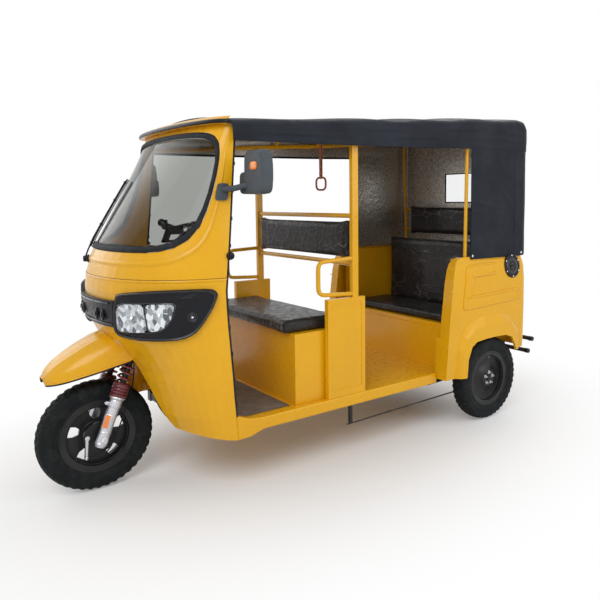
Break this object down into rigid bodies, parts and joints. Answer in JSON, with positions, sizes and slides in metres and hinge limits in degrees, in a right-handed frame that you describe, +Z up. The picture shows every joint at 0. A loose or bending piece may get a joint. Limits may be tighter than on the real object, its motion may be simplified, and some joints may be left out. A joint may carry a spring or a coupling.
{
  "type": "electric passenger rickshaw",
  "caption": "Electric three-wheel passenger rickshaw with open doorways, canvas canopy, driver and rear bench seats, raked front fork and driven rear axle.",
  "frame": {"origin": "centre of the bounding box in plan, at the ground under the tyres", "axes": "+Z up, +Y towards the rear, +X towards the vehicle's left side"},
  "size_m": [1.47, 2.885, 1.89],
  "materials": {
    "body_paint": "gloss yellow paint",
    "frame_paint": "satin black paint",
    "rim_paint": "gloss black paint",
    "silver_metal": "cast, lightly brushed",
    "spring_paint": "maroon paint",
    "black_plastic": "moulded",
    "grey_plastic": "moulded",
    "seal_rubber": "matt",
    "clear_glass": "clear",
    "red_lens": "moulded lens",
    "battery_case": "moulded",
    "seat_cover": "dark vinyl",
    "strap_webbing": "woven",
    "canvas": "coated canvas",
    "tyre_rubber": "moulded tread"
  },
  "bodies": {
    "body": {"chassis_frame": "frame_paint", "floor_pan": "body_paint", "sill_left": "body_paint", "sill_right": "body_paint", "cab_lower_shell": "body_paint", "cab_upper_shell": "body_paint", "cab_roof_cap": "body_paint", "windshield_seal": "seal_rubber", "windshield_glass": "clear_glass", "wiper": "black_plastic", "lamp_bezel_left": "black_plastic", "lamp_bezel_right": "black_plastic", "lamp_centre_band": "black_plastic", "headlamp_left": "clear_glass", "headlamp_right": "clear_glass", "front_mudguard": "body_paint", "dashboard": "body_paint", "mirror_left": "grey_plastic", "mirror_right": "grey_plastic", "driver_seat_box": "body_paint", "battery_pack": "battery_case", "driver_cushion": "seat_cover", "driver_backrest_pad": "seat_cover", "pillar_frame": "body_paint", "grab_loop_left": "body_paint", "grab_loop_right": "body_paint", "hand_strap": "strap_webbing", "roof_frame": "body_paint", "canopy": "canvas", "rear_curtain": "canvas", "rear_pad": "seat_cover", "passenger_seat_box": "body_paint", "passenger_cushion": "seat_cover", "passenger_backrest": "seat_cover", "side_panel_left": "body_paint", "side_panel_right": "body_paint", "rear_tub": "body_paint", "rear_panel": "body_paint", "tail_lamp_left": "red_lens", "tail_lamp_right": "red_lens", "rear_bumper": "frame_paint", "rear_axle": "frame_paint", "leaf_spring_left": "frame_paint", "leaf_spring_right": "frame_paint", "brake_rod": "frame_paint", "front_brake_cable": "seal_rubber"},
    "steering": {"fork": "frame_paint", "fork_leg_left": "silver_metal", "fork_leg_right": "silver_metal", "fork_spring_left": "spring_paint", "fork_spring_right": "spring_paint", "front_axle": "silver_metal", "handlebar": "frame_paint", "hub_brake_cable": "seal_rubber"},
    "front_wheel": {"front_tyre": "tyre_rubber", "front_rim": "rim_paint"},
    "rear_left_wheel": {"rear_left_tyre": "tyre_rubber", "rear_left_rim": "rim_paint"},
    "rear_right_wheel": {"rear_right_tyre": "tyre_rubber", "rear_right_rim": "rim_paint"}
  },
  "joints": [
    {"name": "steering_turn", "type": "hinge", "parent": "body", "child": "steering", "pos_m": [0, -1.18746, 0.255], "axis": [0, 0.3714, 0.9285], "range_deg": [-35, 35]},
    {"name": "front_wheel_spin", "type": "hinge", "parent": "steering", "child": "front_wheel", "pos_m": [0, -1.18746, 0.255], "axis": [1, 0, 0], "continuous": true},
    {"name": "rear_left_wheel_spin", "type": "hinge", "parent": "body", "child": "rear_left_wheel", "pos_m": [0.55, 0.93254, 0.255], "axis": [1, 0, 0], "continuous": true},
    {"name": "rear_right_wheel_spin", "type": "hinge", "parent": "body", "child": "rear_right_wheel", "pos_m": [-0.55, 0.93254, 0.255], "axis": [1, 0, 0], "continuous": true}
  ]
}
